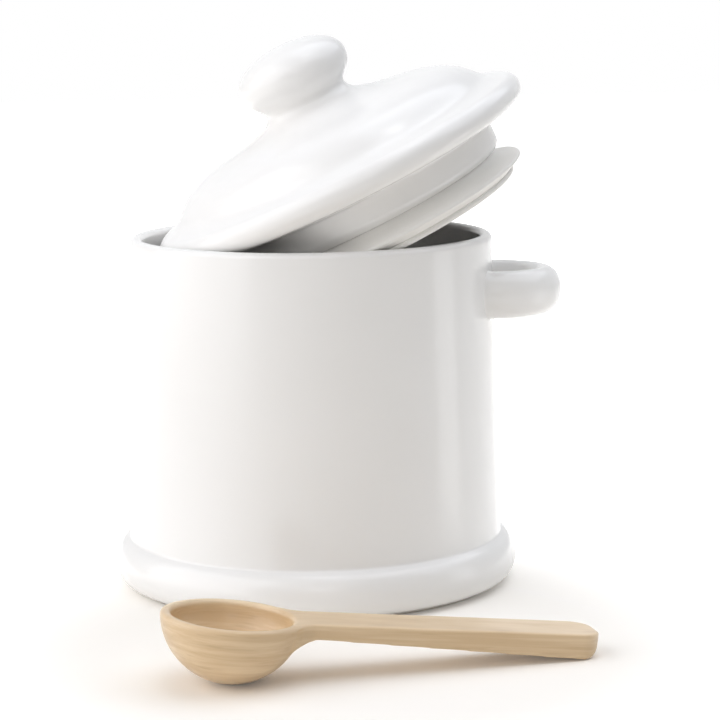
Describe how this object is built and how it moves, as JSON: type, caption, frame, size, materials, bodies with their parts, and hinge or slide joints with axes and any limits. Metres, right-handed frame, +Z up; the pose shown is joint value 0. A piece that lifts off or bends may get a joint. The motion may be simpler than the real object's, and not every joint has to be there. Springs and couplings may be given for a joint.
{
  "type": "sugar canister",
  "caption": "Round white porcelain sugar canister with a spoon loop on its wall, a domed lid with knob and silicone seal propped in its mouth, and a wooden sugar spoon.",
  "frame": {"origin": "middle of the canister's foot, on the surface it stands on", "axes": "+Z up along the canister's axis, +X towards the spoon loop, -Y towards the side where the spoon lies"},
  "size_m": [0.1383, 0.1982, 0.1665],
  "materials": {
    "porcelain": "gloss",
    "silicone": "satin",
    "beech": "matte"
  },
  "bodies": {
    "canister": {"canister_body": "porcelain", "spoon_ring": "porcelain"},
    "lid": {"lid_cover": "porcelain", "lid_knob": "porcelain", "lid_seal": "silicone"},
    "spoon": {"spoon": "beech"}
  },
  "joints": [
    {"name": "lid_lift", "type": "slide", "parent": "canister", "child": "lid", "axis": [0, 0, 1], "range_m": [0, 0.12]},
    {"name": "spoon_lift", "type": "slide", "parent": "canister", "child": "spoon", "axis": [0, 0, 1], "range_m": [0, 0.12]}
  ]
}
